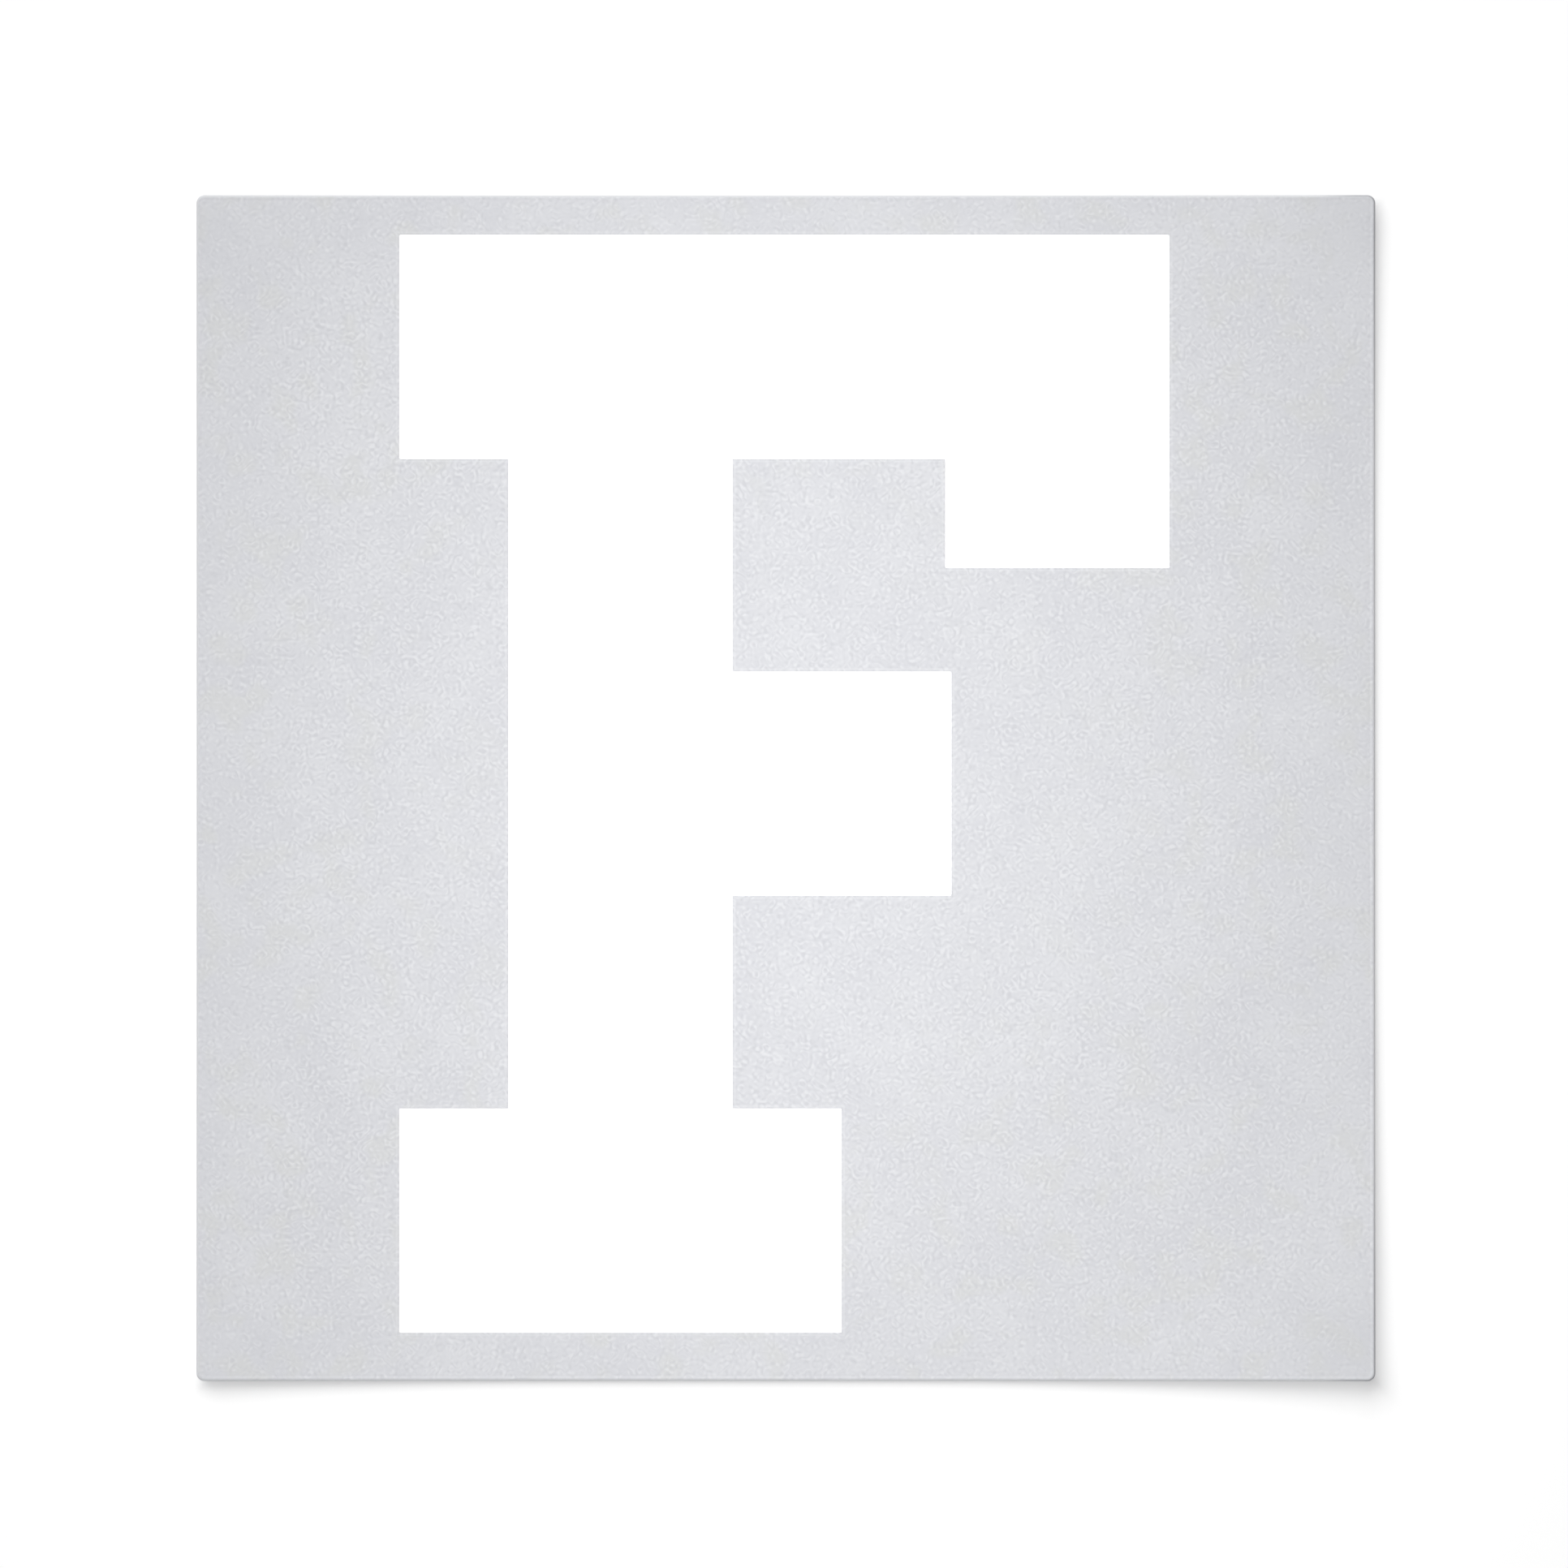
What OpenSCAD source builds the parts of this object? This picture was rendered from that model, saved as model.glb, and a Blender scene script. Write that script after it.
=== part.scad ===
// Lettering stencil: one plastic sheet with a block capital cut through it.
// The origin is the centre of the sheet's footprint on the table, +Y points to the top of the letter
// and +Z leaves the grained upper face.

/* [Sheet] */
// Thickness of the plastic
sheet_t = 1.6; // [0.8:0.1:4]
// Radius of the sheet's four outer corners
sheet_corner_r = 2.1; // [0.5:0.1:9]
// Width of sheet left of the letter
margin_left = 52.4; // [30:0.1:90]
// Width of sheet right of the letter
margin_right = 53.2; // [30:0.1:90]
// Width of sheet above the letter
margin_top = 10.2; // [5:0.1:40]
// Width of sheet below the letter
margin_bottom = 12.5; // [5:0.1:40]

/* [Letter] */
// Width of every stroke
stroke = 58; // [40:0.1:80]
// Reach of the slab serifs past the stem
serif_reach = 28.2; // [10:0.1:50]
// Reach of the middle arm past the stem
arm_reach = 56.6; // [30:0.1:90]
// Drop of the end serif below the top bar
serif_drop = 28.2; // [10:0.1:34]
// Sheet left between the stem and the end serif
end_serif_gap = 55; // [35:0.1:75]
// Sheet left between the top bar and the middle arm
upper_gap = 55; // [35:0.1:75]
// Sheet left between the middle arm and the foot
lower_gap = 55; // [35:0.1:75]
// Radius that the cutter leaves in the corners of the letter
cut_corner_r = 0.4; // [0.1:0.1:3]

/* [Corner lift of the relaxed sheet] */
// Lift of the lower right corner's tip off the table
lift_lower_right = 5.9; // [1:0.1:10]
// Length of sheet edge that lifts beside the lower right corner
run_lower_right = 128; // [70:1:130]
// Lift of the lower left corner's tip off the table
lift_lower_left = 3.4; // [1:0.1:10]
// Length of sheet edge that lifts beside the lower left corner
run_lower_left = 100; // [70:1:110]
// Lift of the upper right corner's tip off the table
lift_upper_right = 3.2; // [1:0.1:10]
// Length of sheet edge that lifts beside the upper right corner
run_upper_right = 95; // [60:1:100]
// Lift of the upper left corner's tip off the table
lift_upper_left = 2; // [1:0.1:10]
// Length of sheet edge that lifts beside the upper left corner
run_upper_left = 85; // [60:1:100]

/* [Hidden] */

// Overall sizes of the letter and of the sheet round it
letter_w = serif_reach + stroke + end_serif_gap + stroke;
letter_h = stroke + upper_gap + stroke + lower_gap + stroke;
sheet_w = margin_left + letter_w + margin_right;
sheet_h = margin_top + letter_h + margin_bottom;

// Upright lines of the letter, from left to right
letter_left = -sheet_w / 2 + margin_left;
letter_right = letter_left + letter_w;
stem_left = letter_left + serif_reach;
stem_right = stem_left + stroke;
foot_right = stem_right + serif_reach;
arm_right = stem_right + arm_reach;
end_serif_left = letter_right - stroke;

// Level lines of the letter, from top to bottom
letter_top = sheet_h / 2 - margin_top;
bar_bottom = letter_top - stroke;
end_serif_bottom = bar_bottom - serif_drop;
arm_top = bar_bottom - upper_gap;
arm_bottom = arm_top - stroke;
foot_top = arm_bottom - lower_gap;
letter_bottom = foot_top - stroke;

// Each row is a corner: its side in X and in Y, its lift and the run of edge that lifts
corners = [
    [ 1, -1, lift_lower_right, run_lower_right],
    [-1, -1, lift_lower_left, run_lower_left],
    [ 1,  1, lift_upper_right, run_upper_right],
    [-1,  1, lift_upper_left, run_upper_left]
];

// Flat tongue with which a bent corner laps into the flat middle, so that the two become one
bend_lap = 2;

// Sides of the polygons that stand for the small rounded corners and for the wide bends
corner_fn = 64;
bend_fn = 1440;

// A rectangle between two opposite points, with all four corners rounded
module rounded_rect(low, high, r) {
    span = high - low;
    translate(low + [r, 0]) square(span - [2 * r, 0]);
    translate(low + [0, r]) square(span - [0, 2 * r]);
    for (x = [low.x + r, high.x - r], y = [low.y + r, high.y - r])
        translate([x, y]) circle(r = r, $fn = corner_fn);
}

// The letter as the cutter follows it: stem, top bar, end serif, middle arm and foot
module letter() {
    rounded_rect([stem_left, letter_bottom], [stem_right, letter_top], cut_corner_r);
    rounded_rect([letter_left, bar_bottom], [letter_right, letter_top], cut_corner_r);
    rounded_rect([end_serif_left, end_serif_bottom], [letter_right, letter_top], cut_corner_r);
    rounded_rect([stem_left, arm_bottom], [arm_right, arm_top], cut_corner_r);
    rounded_rect([letter_left, letter_bottom], [foot_right, foot_top], cut_corner_r);
}

// The sheet seen from above
module sheet_plan() {
    difference() {
        rounded_rect([-sheet_w / 2, -sheet_h / 2], [sheet_w / 2, sheet_h / 2], sheet_corner_r);
        letter();
    }
}

// Turns to a corner's diagonal: +X then runs outwards, with its zero on the line where the bend starts
module at_bend(side_x, side_y, run) {
    start = (sheet_w / 2 + sheet_h / 2 - run) / sqrt(2);
    rotate(atan2(side_y, side_x)) translate([start, 0]) children();
}

// The plan beyond the line where a corner's bend starts, or from a lap before that line
module beyond_bend(side_x, side_y, run, lap) {
    at_bend(side_x, side_y, run) translate([-lap, -run]) square([lap + run, 2 * run]);
}

// Side view of a corner along its diagonal: a flat tongue, then an arc that starts level with it
module bend_profile(lift, run) {
    reach = run / sqrt(2) - (sqrt(2) - 1) * sheet_corner_r;
    bend_r = (reach * reach + lift * lift) / (2 * lift);
    translate([-bend_lap, 0]) square([bend_lap, sheet_t]);
    intersection() {
        translate([0, bend_r]) difference() {
            circle(r = bend_r, $fn = bend_fn);
            circle(r = bend_r - sheet_t, $fn = bend_fn);
        }
        square([run, lift + 2 * sheet_t]);
    }
}

// The middle of the sheet, which lies flat
module flat_middle() {
    linear_extrude(height = sheet_t)
        difference() {
            sheet_plan();
            for (c = corners) beyond_bend(c[0], c[1], c[3], 0);
        }
}

// One corner, bent up round a wide cylinder
module lifted_corner(side_x, side_y, lift, run) {
    intersection() {
        linear_extrude(height = lift + 2 * sheet_t)
            intersection() {
                sheet_plan();
                beyond_bend(side_x, side_y, run, bend_lap);
            }
        at_bend(side_x, side_y, run)
            translate([0, run, 0]) rotate([90, 0, 0])
                linear_extrude(height = 2 * run) bend_profile(lift, run);
    }
}

module stencil_sheet() {
    color([0.86, 0.865, 0.88])
        union() {
            flat_middle();
            for (c = corners) lifted_corner(c[0], c[1], c[2], c[3]);
        }
}

stencil_sheet();
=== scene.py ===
import math

import bmesh
import bpy
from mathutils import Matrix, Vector


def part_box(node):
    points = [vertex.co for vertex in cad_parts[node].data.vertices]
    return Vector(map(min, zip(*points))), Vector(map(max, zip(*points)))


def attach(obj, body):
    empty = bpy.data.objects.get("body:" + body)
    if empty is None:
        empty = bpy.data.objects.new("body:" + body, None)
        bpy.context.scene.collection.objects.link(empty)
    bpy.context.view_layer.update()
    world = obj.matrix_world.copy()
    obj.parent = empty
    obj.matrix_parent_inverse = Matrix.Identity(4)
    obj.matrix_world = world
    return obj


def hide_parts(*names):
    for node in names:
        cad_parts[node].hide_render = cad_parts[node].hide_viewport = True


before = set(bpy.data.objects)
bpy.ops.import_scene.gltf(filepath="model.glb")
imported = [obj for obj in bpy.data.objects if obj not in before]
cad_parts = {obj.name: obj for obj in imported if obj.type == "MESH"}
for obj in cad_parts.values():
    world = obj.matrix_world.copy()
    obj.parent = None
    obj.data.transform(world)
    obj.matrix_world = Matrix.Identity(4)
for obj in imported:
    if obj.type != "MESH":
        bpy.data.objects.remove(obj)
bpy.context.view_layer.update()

# The blank. The real sheet is one layer of polyethylene, and a steel-rule die cuts its outline and the letter
# in one stroke. Nothing is fixed to it, and it lies loose on the work.
MM = 0.001
sheet_low, sheet_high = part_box("stencil_sheet")
sheet_w = sheet_high[0] - sheet_low[0]
sheet_h = sheet_high[1] - sheet_low[1]
sheet_t = 1.6 * MM
sheet_corner_r = 2.1 * MM
cut_corner_r = 0.4 * MM
broken_edge_r = 0.06 * MM
lattice_pitch = 3.2 * MM
hair = 0.01 * MM

margin_left = 52.4 * MM
margin_top = 10.2 * MM
stroke = 58.0 * MM
serif_reach = 28.2 * MM
arm_reach = 56.6 * MM
serif_drop = 28.2 * MM
end_serif_gap = 55.0 * MM
upper_gap = 55.0 * MM
lower_gap = 55.0 * MM

letter_left = sheet_low[0] + margin_left
stem_left = letter_left + serif_reach
stem_right = stem_left + stroke
foot_right = stem_right + serif_reach
arm_right = stem_right + arm_reach
end_serif_left = stem_right + end_serif_gap
letter_right = end_serif_left + stroke

letter_top = sheet_high[1] - margin_top
bar_bottom = letter_top - stroke
end_serif_bottom = bar_bottom - serif_drop
arm_top = bar_bottom - upper_gap
arm_bottom = arm_top - stroke
foot_top = arm_bottom - lower_gap
letter_bottom = foot_top - stroke

strokes = [
    (stem_left, letter_bottom, stem_right, letter_top),
    (letter_left, bar_bottom, letter_right, letter_top),
    (end_serif_left, end_serif_bottom, letter_right, letter_top),
    (stem_left, arm_bottom, arm_right, arm_top),
    (letter_left, letter_bottom, foot_right, foot_top),
]

# Corners where the cutter turned inside the letter, each with the way into the opening from it
cutter_turns = [
    (letter_left, letter_top, 1, -1),
    (letter_left, bar_bottom, 1, 1),
    (letter_right, letter_top, -1, -1),
    (letter_right, end_serif_bottom, -1, 1),
    (end_serif_left, end_serif_bottom, 1, 1),
    (arm_right, arm_top, -1, -1),
    (arm_right, arm_bottom, -1, 1),
    (foot_right, foot_top, -1, -1),
    (foot_right, letter_bottom, -1, 1),
    (letter_left, foot_top, 1, -1),
    (letter_left, letter_bottom, 1, 1),
]


def ruled(lines, pitch):
    """Fills the stretches between a set of lines with equal steps of about the pitch."""
    lines = sorted(set(lines))
    marks = [lines[0]]
    for start, end in zip(lines, lines[1:]):
        steps = max(1, round((end - start) / pitch))
        marks += [start + (end - start) * k / steps for k in range(1, steps + 1)]
    return marks


def in_letter(x, y):
    return any(x0 < x < x1 and y0 < y < y1 for x0, y0, x1, y1 in strokes)


def cut_plan():
    """The sheet within its rim, as a flat lattice of small squares with the letter left out."""
    plan = bmesh.new()
    core = [(sheet_low[k] + sheet_corner_r, sheet_high[k] - sheet_corner_r) for k in (0, 1)]
    xs = ruled(list(core[0]) + [s[k] for s in strokes for k in (0, 2)], lattice_pitch)
    ys = ruled(list(core[1]) + [s[k] for s in strokes for k in (1, 3)], lattice_pitch)
    knots = {}
    for i in range(len(xs) - 1):
        for j in range(len(ys) - 1):
            if in_letter((xs[i] + xs[i + 1]) / 2, (ys[j] + ys[j + 1]) / 2):
                continue
            ring = [(i, j), (i + 1, j), (i + 1, j + 1), (i, j + 1)]
            for a, b in ring:
                if (a, b) not in knots:
                    knots[a, b] = plan.verts.new((xs[a], ys[b], 0))
            plan.faces.new([knots[k] for k in ring])
    return plan


def round_cutter_turn(plan, x, y, into_x, into_y):
    """Leaves the cutter's small radius in a corner of the opening, as a little more sheet there."""
    corner = min(plan.verts, key=lambda v: (v.co - Vector((x, y, 0))).length_squared)
    walls = [e for e in corner.link_edges if len(e.link_faces) == 1]
    touch = [bmesh.utils.edge_split(w, corner, cut_corner_r / w.calc_length())[1] for w in walls]
    touch.sort(key=lambda v: abs(v.co.y - y))
    centre = Vector((x + into_x * cut_corner_r, y + into_y * cut_corner_r, 0))
    steps = 6
    arc = []
    for k in range(1, steps):
        turn = math.pi / 2 * k / steps
        out = Vector((-into_x * math.sin(turn), -into_y * math.cos(turn), 0))
        arc.append(plan.verts.new(centre + out * cut_corner_r))
    sliver = plan.faces.new([corner, touch[0]] + arc + [touch[1]])
    sliver.normal_update()
    if sliver.normal.z < 0:
        sliver.normal_flip()
    seams = [e for e in corner.link_edges if e.other_vert(corner) in touch]
    bmesh.ops.dissolve_edges(plan, edges=seams, use_verts=False)


def break_letter_edges(blank, level):
    """The small round that the die leaves on the letter's edges."""
    blank.normal_update()
    sharp = []
    for e in blank.edges:
        if len(e.link_faces) == 2 and max(abs(v.co.z - level) for v in e.verts) < hair:
            if sorted(abs(f.normal.z) > 0.5 for f in e.link_faces) == [False, True]:
                sharp.append(e)
    bmesh.ops.bevel(blank, geom=sharp, offset=broken_edge_r, offset_type="OFFSET", segments=2, profile=0.5,
                    affect="EDGES", clamp_overlap=False)


# The rim. The die presses a faint groove, raises a low lip beside it and rounds the lip over into the cut
# wall. The section runs from the sheet's flat top outwards and round to the flat underside.
def beyond_core(point):
    """How far a point lies outside the rectangle on which the rim is built."""
    return max(abs(point.x) - sheet_w / 2, abs(point.y) - sheet_h / 2) + sheet_corner_r


def eased(start, end, steps):
    """Points from one (out, height) to another that leave and arrive level, without the first."""
    swing = [(1 - math.cos(math.pi * k / steps)) / 2 for k in range(1, steps + 1)]
    return [(start[0] + (end[0] - start[0]) * k / steps, start[1] + (end[1] - start[1]) * s)
            for k, s in zip(range(1, steps + 1), swing)]


def quarter(centre, out, up, first, steps):
    """A quarter of an ellipse in the rim's section, from the angle first on, turning clockwise."""
    turns = [math.radians(first - 90 * k / steps) for k in range(steps + 1)]
    return [(centre[0] + out * math.cos(a), centre[1] + up * math.sin(a)) for a in turns]


groove_depth = 0.015 * MM
lip_height = 0.04 * MM
roll_out = 0.7 * MM
roll_down = 0.65 * MM
under_r = 0.15 * MM
flat_end = (0.3 * MM, sheet_t)
groove = (0.7 * MM, sheet_t - groove_depth)
lip = (sheet_corner_r - roll_out, sheet_t + lip_height)
rim_section = [flat_end] + eased(flat_end, groove, 3) + eased(groove, lip, 6)
rim_section += quarter((lip[0], lip[1] - roll_down), roll_out, roll_down, 90, 8)[1:]
rim_section += quarter((sheet_corner_r - under_r, under_r), under_r, under_r, 0, 3)


def sweep_rim(blank):
    """Carries the rim's section round the sheet, with a fan of sections at each rounded corner."""
    fan = 10
    edge = [v for v in blank.verts if abs(beyond_core(v.co)) < hair]
    stations = []
    for side in range(4):
        turn = math.pi / 2 * (side - 1)
        out = Vector((math.cos(turn), math.sin(turn), 0))
        along = Vector((-out.y, out.x, 0))
        reach = max(v.co.dot(out) for v in edge)
        row = sorted((v for v in edge if v.co.dot(out) > reach - hair), key=lambda v: v.co.dot(along))
        upper = [v for v in row if v.co.z > sheet_t / 2]
        lower = [v for v in row if v.co.z < sheet_t / 2]
        stations += [(top, base, turn) for top, base in zip(upper, lower)]
        stations += [(upper[-1], lower[-1], turn + math.pi / 2 * k / fan) for k in range(1, fan)]
    loops = []
    for top, base, turn in stations:
        foot = Vector((top.co.x, top.co.y, 0))
        out = Vector((math.cos(turn), math.sin(turn), 0))
        skin = [blank.verts.new(foot + out * reach + Vector((0, 0, level))) for reach, level in rim_section]
        loops.append([top] + skin + [base])
    for this, after in zip(loops, loops[1:] + loops[:1]):
        for k in range(len(this) - 1):
            ring = [this[k], this[k + 1], after[k + 1], after[k]]
            blank.faces.new(list(dict.fromkeys(ring)))


# The flat sheet is put together from its plan with the small radii, its thickness, the letter's broken edges
# and the rim, which takes the place of the plain outer walls.
plan = cut_plan()
for corner_turn in cutter_turns:
    round_cutter_turn(plan, *corner_turn)
raised = bmesh.ops.extrude_face_region(plan, geom=plan.faces[:])["geom"]
bmesh.ops.translate(plan, verts=[g for g in raised if isinstance(g, bmesh.types.BMVert)], vec=(0, 0, sheet_t))
outer_walls = [f for f in plan.faces if beyond_core(f.calc_center_median()) > -hair]
bmesh.ops.delete(plan, geom=outer_walls, context="FACES")
bmesh.ops.recalc_face_normals(plan, faces=plan.faces)
break_letter_edges(plan, sheet_t)
break_letter_edges(plan, 0)
sweep_rim(plan)
bmesh.ops.recalc_face_normals(plan, faces=plan.faces)
blank_mesh = bpy.data.meshes.new("sheet_blank")
plan.to_mesh(blank_mesh)
plan.free()
blank = bpy.data.objects.new("sheet_blank", blank_mesh)
bpy.context.scene.collection.objects.link(blank)


# The finish. Frosted polyethylene is a cool milky grey, with fine warm flecks towards the edges of the sheet.
# Its upper face was rolled with a haircell grain, raised worms of plastic 0.5 mm wide and 1.6 mm apart, made
# by a bump.
# Their ridges are painted paler and the hollows between them darker, partly as the frosting of the plastic
# and partly as painted highlight and painted shade. They are boldest in the middle of the sheet and fade a
# little towards its edges.
def add(tree, kind, ins=None, **settings):
    """Adds a node with its settings. Each input is given a number, a colour or another node's socket."""
    made = tree.nodes.new(kind)
    for name, value in settings.items():
        setattr(made, name, value)
    for key, value in (ins or {}).items():
        if isinstance(value, bpy.types.NodeSocket):
            tree.links.new(value, made.inputs[key])
        else:
            made.inputs[key].default_value = value
    return made


def calc(tree, operation, a, b=0.0):
    return add(tree, "ShaderNodeMath", {0: a, 1: b}, operation=operation).outputs[0]


def srgb(code):
    """Turns an sRGB hex colour into the linear one that a shader takes."""
    parts = [int(code[k:k + 2], 16) / 255 for k in (0, 2, 4)]
    return tuple(p / 12.92 if p <= 0.04045 else ((p + 0.055) / 1.055) ** 2.4 for p in parts) + (1.0,)


def noise(tree, where, grain_mm, detail=0.0, roughness=0.5):
    """Noise whose blobs are about this many millimetres across."""
    ins = {"Vector": where, "Scale": 1 / grain_mm, "Detail": detail, "Roughness": roughness}
    return add(tree, "ShaderNodeTexNoise", ins).outputs[0]


def worms(tree, where, pitch_mm):
    """Short ridges that run every way, this far apart from one to the next."""
    swings = 1.8
    ins = {"Vector": where, "Scale": 1 / (pitch_mm * swings), "Frequency": swings, "Anisotropy": 0.0}
    return add(tree, "ShaderNodeTexGabor", ins, gabor_type="2D").outputs["Value"]


def curls(tree, where, grain_mm, rings):
    """Long curly ridges that ring the heights and hollows of a noise."""
    turns = calc(tree, "MULTIPLY", noise(tree, where, grain_mm), 2 * math.pi * rings)
    return calc(tree, "SINE", turns)


def ramp(tree, value, low, high, to_low=0.0, to_high=1.0):
    """Eases from one value to another while its input goes from low to high, and holds still beyond them."""
    ins = {"Value": value, "From Min": low, "From Max": high, "To Min": to_low, "To Max": to_high}
    return add(tree, "ShaderNodeMapRange", ins, interpolation_type="SMOOTHSTEP").outputs[0]


def blend(tree, share, low, high):
    """Mixes two colours, each a hex code or a socket."""
    low, high = [srgb(c) if isinstance(c, str) else c for c in (low, high)]
    return add(tree, "ShaderNodeMix", {0: share, 6: low, 7: high}, data_type="RGBA").outputs[2]


def beyond_box(tree, where, low, high):
    """How far a point lies outside a rectangle in plan, or how far inside it where that is negative."""
    place = add(tree, "ShaderNodeSeparateXYZ", {0: where}).outputs
    past = []
    for axis in (0, 1):
        aside = calc(tree, "SUBTRACT", place[axis], (low[axis] + high[axis]) / 2)
        past.append(calc(tree, "SUBTRACT", calc(tree, "ABSOLUTE", aside), (high[axis] - low[axis]) / 2))
    return calc(tree, "MAXIMUM", past[0], past[1])


polyethylene = bpy.data.materials.new("haircell_polyethylene")
polyethylene.use_nodes = True
tree = polyethylene.node_tree
tree.nodes.clear()
where = add(tree, "ShaderNodeTexCoord").outputs["Object"]
in_mm = add(tree, "ShaderNodeMapping", {"Vector": where, "Scale": (1 / MM, 1 / MM, 1 / MM)}).outputs[0]
aside = add(tree, "ShaderNodeMapping", {"Vector": in_mm, "Location": (437.0, 211.0, 5.0)}).outputs[0]
grained = add(tree, "ShaderNodeAttribute", attribute_name="grained").outputs["Fac"]
place = add(tree, "ShaderNodeSeparateXYZ", {0: where}).outputs
to_side = calc(tree, "SUBTRACT", sheet_w / 2, calc(tree, "ABSOLUTE", place[0]))
to_end = calc(tree, "SUBTRACT", sheet_h / 2, calc(tree, "ABSOLUTE", place[1]))
to_right = calc(tree, "SUBTRACT", sheet_w / 2, place[0])

worm_pitch_mm = 1.55
curl_mm = 2.1
curl_rings = 3.2
curl_share = 0.19
patch_mm = 2.4
fade_width = 38 * MM
worm_height = 0.012 * MM
curly = calc(tree, "MULTIPLY", curls(tree, in_mm, curl_mm, curl_rings), curl_share)
swell = ramp(tree, calc(tree, "ADD", curly, worms(tree, aside, worm_pitch_mm)), -0.07, 1.07, -1.0, 1.0)
faded = calc(tree, "MULTIPLY", ramp(tree, to_side, 2 * MM, fade_width, 0.78),
             ramp(tree, to_end, 2 * MM, fade_width, 0.78))
strength = calc(tree, "MULTIPLY", ramp(tree, noise(tree, aside, patch_mm), 0.3, 0.65, 0.61, 1.22), faded)
haircell = calc(tree, "MULTIPLY", calc(tree, "MULTIPLY", swell, strength), grained)
bump = add(tree, "ShaderNodeBump", {"Strength": 1.0, "Distance": worm_height, "Height": haircell})

milk_dim = "e1e2e7"
milk_pale = "e7e8ec"
fleck_warm = "e3e4e5"
worm_shade = "d4d5da"
worm_light = "f5f6f9"
cloud_mm = 26.0
fleck_mm = 9.5
fleck_free = 40 * MM
fleck_full = 130 * MM
cloud = ramp(tree, noise(tree, in_mm, cloud_mm, detail=4.0, roughness=0.62), 0.25, 0.75)
fleck = ramp(tree, noise(tree, aside, fleck_mm, detail=1.0), 0.5, 0.7)
from_middle = add(tree, "ShaderNodeVectorMath", {0: where}, operation="LENGTH").outputs["Value"]
flecked = ramp(tree, from_middle, fleck_free, fleck_full, 0.0, 0.87)
milk = blend(tree, cloud, milk_dim, milk_pale)
milk = blend(tree, calc(tree, "MULTIPLY", fleck, flecked), milk, fleck_warm)
# Painted shade in the hollows and painted highlight on the ridges, besides the plastic's own frosting
haired = blend(tree, ramp(tree, haircell, 0.0, -1.0, 0.0, 0.55), milk, worm_shade)
haired = blend(tree, ramp(tree, haircell, 0.0, 1.0, 0.0, 0.57), haired, worm_light)

# A faint pale line is painted just outside the letter. The die leaves the cut walls smooth, without grain.
# The right-hand rim and the top face near its two right-hand corners are painted darker, as painted shade.
line_start = 0.3 * MM
line_end = 1.0 * MM
wall_colour = "ecedf0"
# A grey that the painted shade below mixes in
painted_shade_grey = "c8c9cd"
from_cut = beyond_box(tree, where, strokes[0][:2], strokes[0][2:])
for stroke_box in strokes[1:]:
    from_cut = calc(tree, "MINIMUM", from_cut, beyond_box(tree, where, stroke_box[:2], stroke_box[2:]))
# A pale line painted in a narrow band just outside the letter
pale_letter_line = calc(tree, "MULTIPLY", ramp(tree, from_cut, line_start, 0.55 * MM, 0.0, 0.25),
                 ramp(tree, from_cut, line_end, 0.7 * MM))
lined = blend(tree, pale_letter_line, haired, worm_light)
# Painted shade: the top face darkens towards the two right-hand corners
corner_painted_shade = calc(tree, "MULTIPLY", ramp(tree, to_right, 8 * MM, 34 * MM, 0.15, 0.0),
               ramp(tree, to_end, 8 * MM, 34 * MM, 1.0, 0.0))
# Painted shade: the right-hand rim darkens towards its two corners
rim_painted_shade = calc(tree, "MULTIPLY", ramp(tree, to_right, 4 * MM, 16 * MM, 1.0, 0.0),
               ramp(tree, to_end, 5 * MM, 70 * MM, 1.0, 0.0))
walls = blend(tree, rim_painted_shade, wall_colour, painted_shade_grey)
faced = blend(tree, grained, walls, blend(tree, corner_painted_shade, lined, painted_shade_grey))

# The underside came off a polished roll, so it is smoother than the top. Sliding the sheet about has left
# fine pale scuffs on it, about 9 mm long and 0.4 mm wide.
scuffs_per_mm = (0.11, 2.4, 1.0)
scuff_heading = 0.6
underside = add(tree, "ShaderNodeAttribute", attribute_name="underside").outputs["Fac"]
swept = add(tree, "ShaderNodeMapping", {"Vector": in_mm, "Rotation": (0, 0, scuff_heading),
                                        "Scale": scuffs_per_mm}).outputs[0]
scuffs = ramp(tree, noise(tree, swept, 1.0, detail=2.0), 0.58, 0.74)
smooth = blend(tree, calc(tree, "MULTIPLY", scuffs, 0.4), milk, worm_light)
surface = blend(tree, underside, faced, smooth)
roughness = ramp(tree, underside, 0.0, 1.0, 0.55, ramp(tree, scuffs, 0.0, 1.0, 0.36, 0.52))
skin = add(tree, "ShaderNodeBsdfPrincipled", {"Base Color": surface, "Roughness": roughness, "IOR": 1.51,
                                              "Specular IOR Level": 0.5, "Normal": bump.outputs[0]})
add(tree, "ShaderNodeOutputMaterial", {"Surface": skin.outputs[0]})


# The lie of the sheet. Loose on a table, the middle of the sheet touches and its four corners stand a little
# proud, each bent round a wide cylinder across the sheet's diagonal, as the CAD model has them.
corner_lifts = [
    ("Lower right", 1, -1, 5.9 * MM, 128.0 * MM),
    ("Lower left", -1, -1, 3.4 * MM, 100.0 * MM),
    ("Upper right", 1, 1, 3.2 * MM, 95.0 * MM),
    ("Upper left", -1, 1, 2.0 * MM, 85.0 * MM),
]
lie = bpy.data.node_groups.new("relaxed_sheet", "GeometryNodeTree")
lie.interface.new_socket("Geometry", in_out="INPUT", socket_type="NodeSocketGeometry")
lie.interface.new_socket("Geometry", in_out="OUTPUT", socket_type="NodeSocketGeometry")
lie_sizes = {"Half width": sheet_w / 2, "Half height": sheet_h / 2, "Corner radius": sheet_corner_r}
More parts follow.
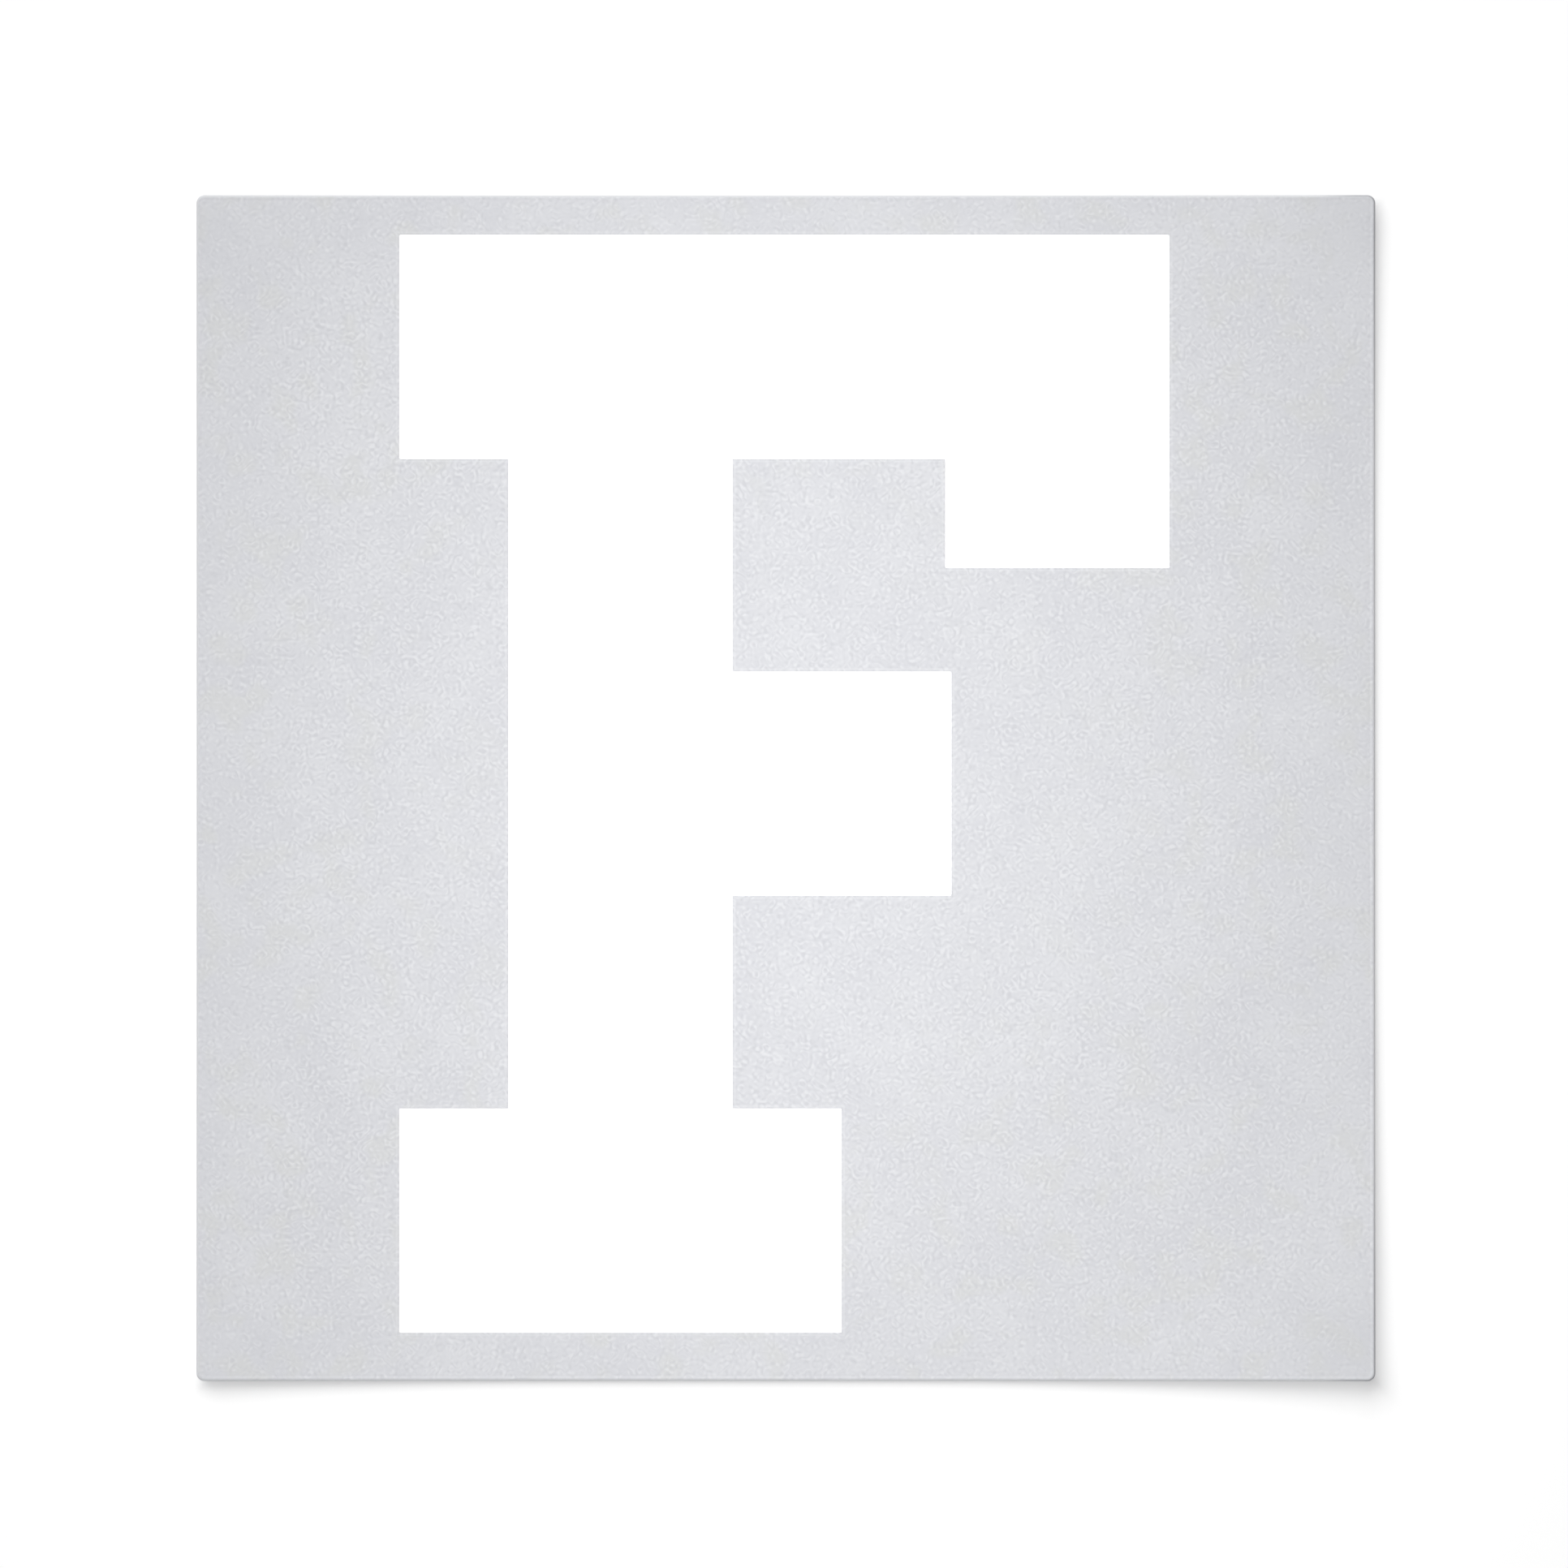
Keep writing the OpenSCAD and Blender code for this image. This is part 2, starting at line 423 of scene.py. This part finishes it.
for name, side_x, side_y, lift, run in corner_lifts:
    lie_sizes[name + " lift"] = lift
    lie_sizes[name + " run"] = run
for name in lie_sizes:
    lie.interface.new_socket(name, in_out="INPUT", socket_type="NodeSocketFloat")
lie.interface.new_socket("Material", in_out="INPUT", socket_type="NodeSocketMaterial")

given = add(lie, "NodeGroupInput").outputs
spot = add(lie, "ShaderNodeSeparateXYZ", {0: add(lie, "GeometryNodeInputPosition").outputs[0]}).outputs
facing = add(lie, "ShaderNodeSeparateXYZ", {0: add(lie, "GeometryNodeInputNormal").outputs[0]}).outputs[2]
height = spot[2]
root_2 = math.sqrt(2)
for name, side_x, side_y, *_ in corner_lifts:
    lift = given[name + " lift"]
    run = given[name + " run"]
    half_sum = calc(lie, "ADD", given["Half width"], given["Half height"])
    start = calc(lie, "DIVIDE", calc(lie, "SUBTRACT", half_sum, run), root_2)
    tip = calc(lie, "SUBTRACT", calc(lie, "DIVIDE", run, root_2),
               calc(lie, "MULTIPLY", given["Corner radius"], root_2 - 1))
    squares = calc(lie, "ADD", calc(lie, "MULTIPLY", tip, tip), calc(lie, "MULTIPLY", lift, lift))
    bend_r = calc(lie, "DIVIDE", squares, calc(lie, "MULTIPLY", lift, 2.0))
    along = calc(lie, "ADD", calc(lie, "MULTIPLY", spot[0], side_x / root_2),
                 calc(lie, "MULTIPLY", spot[1], side_y / root_2))
    past = calc(lie, "MAXIMUM", calc(lie, "SUBTRACT", along, start), 0.0)
    past_2 = calc(lie, "MULTIPLY", past, past)
    radius = calc(lie, "SUBTRACT", bend_r, height)
    level = calc(lie, "SQRT", calc(lie, "SUBTRACT", calc(lie, "MULTIPLY", radius, radius), past_2))
    # The arc's rise is radius - level, in the form that stays exact where the rise is small
    rise = calc(lie, "DIVIDE", past_2, calc(lie, "ADD", radius, level))
    height = calc(lie, "ADD", height, rise)
bent = add(lie, "ShaderNodeCombineXYZ", {0: spot[0], 1: spot[1], 2: height}).outputs[0]
marked = given["Geometry"]
for side, test, limit in (("grained", "GREATER_THAN", 0.9), ("underside", "LESS_THAN", -0.9)):
    marked = add(lie, "GeometryNodeStoreNamedAttribute",
                 {"Geometry": marked, "Name": side, "Value": calc(lie, test, facing, limit)},
                 data_type="FLOAT", domain="FACE").outputs[0]
moved = add(lie, "GeometryNodeSetPosition", {"Geometry": marked, "Position": bent}).outputs[0]
whole = add(lie, "GeometryNodeRealizeInstances", {"Geometry": moved}).outputs[0]
painted = add(lie, "GeometryNodeSetMaterial", {"Geometry": whole, "Material": given["Material"]}).outputs[0]
add(lie, "NodeGroupOutput", {0: painted})

relax = blank.modifiers.new("relaxed_sheet", "NODES")
relax.node_group = lie
for item in lie.interface.items_tree:
    if item.in_out == "INPUT" and item.name in lie_sizes:
        relax[item.identifier] = lie_sizes[item.name]
    if item.in_out == "INPUT" and item.name == "Material":
        relax[item.identifier] = polyethylene
laid = bpy.data.meshes.new_from_object(blank.evaluated_get(bpy.context.evaluated_depsgraph_get()))
laid.name = "stencil_sheet_skin"
bpy.data.objects.remove(blank)
sharp_from = math.radians(50)
laid.shade_smooth()
laid.set_sharp_from_angle(angle=sharp_from)
sheet = bpy.data.objects.new("stencil_sheet_skin", laid)
bpy.context.scene.collection.objects.link(sheet)
flat_faces_lead = sheet.modifiers.new("flat_faces_lead", "WEIGHTED_NORMAL")
flat_faces_lead.weight = 100
flat_faces_lead.keep_sharp = True
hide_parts("stencil_sheet")
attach(sheet, "root")


# The table. A plain pale floor takes the sheet's soft shadow. The photograph is cleared to white, so the
# floor glows up to white inside the letter and on the lit left and top sides, and more slowly beyond the
# shaded sides.
floor_reach = 12.0
floor_z = -0.02 * MM
table_grey = 0.8
letter_glow = 0.72
side_glow = 0.42
shade_kept = 0.22
shade_reach = 2.4 * MM
lit_sides = 3 * MM
floor_mesh = bpy.data.meshes.new("floor")
floor_corners = [(x * floor_reach, y * floor_reach, floor_z) for x, y in ((-1, -1), (1, -1), (1, 1), (-1, 1))]
floor_mesh.from_pydata(floor_corners, [], [(0, 1, 2, 3)])
floor = bpy.data.objects.new("floor", floor_mesh)
bpy.context.scene.collection.objects.link(floor)
pale = bpy.data.materials.new("pale_table")
pale.use_nodes = True
tree = pale.node_tree
tree.nodes.clear()
seen = add(tree, "ShaderNodeLightPath").outputs
any_eye = calc(tree, "MAXIMUM", calc(tree, "MAXIMUM", seen["Is Camera Ray"], seen["Is Glossy Ray"]),
               seen["Is Transmission Ray"])
where = add(tree, "ShaderNodeTexCoord").outputs["Object"]
from_letter = beyond_box(tree, where, (letter_left, letter_bottom), (letter_right, letter_top))
under_letter = ramp(tree, from_letter, 1 * MM, 7 * MM, letter_glow, 0.0)
shaded_low = (sheet_low[0] + lit_sides, sheet_low[1])
shaded_high = (sheet_high[0], sheet_high[1] - lit_sides)
from_shaded = calc(tree, "MAXIMUM", beyond_box(tree, where, shaded_low, shaded_high), 0.0)
closeness = calc(tree, "EXPONENT", calc(tree, "DIVIDE", from_shaded, -shade_reach))
beside_sheet = calc(tree, "SUBTRACT", side_glow, calc(tree, "MULTIPLY", closeness, shade_kept))
matt = add(tree, "ShaderNodeBsdfDiffuse", {"Color": (table_grey, table_grey, table_grey, 1)}).outputs[0]
cleared = calc(tree, "MULTIPLY", seen["Is Camera Ray"], under_letter)
glow = calc(tree, "MAXIMUM", cleared, calc(tree, "MULTIPLY", any_eye, beside_sheet))
white = add(tree, "ShaderNodeEmission", {"Color": (1, 1, 1, 1), "Strength": glow}).outputs[0]
lit = add(tree, "ShaderNodeAddShader", {0: matt, 1: white}).outputs[0]
clear = add(tree, "ShaderNodeBsdfTransparent").outputs[0]
behind = add(tree, "ShaderNodeNewGeometry").outputs["Backfacing"]
from_above = add(tree, "ShaderNodeMixShader", {0: behind, 1: lit, 2: clear}).outputs[0]
add(tree, "ShaderNodeOutputMaterial", {0: from_above})
floor_mesh.materials.append(pale)


# The light. A broad soft box up and to the left gives the shadow and the relief of the rim, and a white
# card in front lifts the near edge. A strip straight above brightens the middle and casts no shadow.
def soft_box(name, place, width, length, power):
    lamp = bpy.data.lights.new(name, "AREA")
    lamp.shape = "RECTANGLE"
    lamp.size = width
    lamp.size_y = length
    lamp.energy = power
    box = bpy.data.objects.new(name, lamp)
    box.location = place
    box.rotation_mode = "QUATERNION"
    box.rotation_quaternion = Vector(place).to_track_quat("Z", "Y")
    box.visible_camera = False
    bpy.context.scene.collection.objects.link(box)
    return lamp


soft_box("key_soft_box", (-2.0, 4.2, 4.8), 6.8, 6.8, 350.0)
soft_box("front_card", (0.0, -2.4, 0.45), 1.6, 0.6, 9.0)
soft_box("overhead_strip", (0.0, -0.005, 0.27), 0.1, 0.38, 0.36).use_shadow = False
world = bpy.data.worlds.new("room")
world.use_nodes = True
tree = world.node_tree
tree.nodes.clear()
seen = add(tree, "ShaderNodeLightPath").outputs
fill = add(tree, "ShaderNodeBackground", {"Color": (1, 1, 1, 1), "Strength": 0.16}).outputs[0]
backdrop = add(tree, "ShaderNodeBackground", {"Color": (1, 1, 1, 1), "Strength": 1.0}).outputs[0]
seen_or_lit = add(tree, "ShaderNodeMixShader", {0: seen["Is Camera Ray"], 1: fill, 2: backdrop}).outputs[0]
add(tree, "ShaderNodeOutputWorld", {0: seen_or_lit})
bpy.context.scene.world = world
bpy.context.scene.view_settings.view_transform = "Standard"

# The camera looks straight down from far above, as in a catalogue photograph.
photo_side = 1932
sheet_left_px, sheet_right_px = 242.3, 1694.3
sheet_top_px, sheet_bottom_px = 240.5, 1701.6
metre_per_px = sheet_w / (sheet_right_px - sheet_left_px)
camera_height = 10.0
view_side = photo_side * metre_per_px
camera_data = bpy.data.cameras.new("catalogue_camera")
camera_data.sensor_width = 36.0
camera_data.lens = camera_data.sensor_width * (camera_height - sheet_t) / view_side
camera = bpy.data.objects.new("catalogue_camera", camera_data)
camera.location = (((photo_side - sheet_left_px - sheet_right_px) / 2) * metre_per_px,
                   ((sheet_top_px + sheet_bottom_px - photo_side) / 2) * metre_per_px, camera_height)
bpy.context.scene.collection.objects.link(camera)
bpy.context.scene.camera = camera
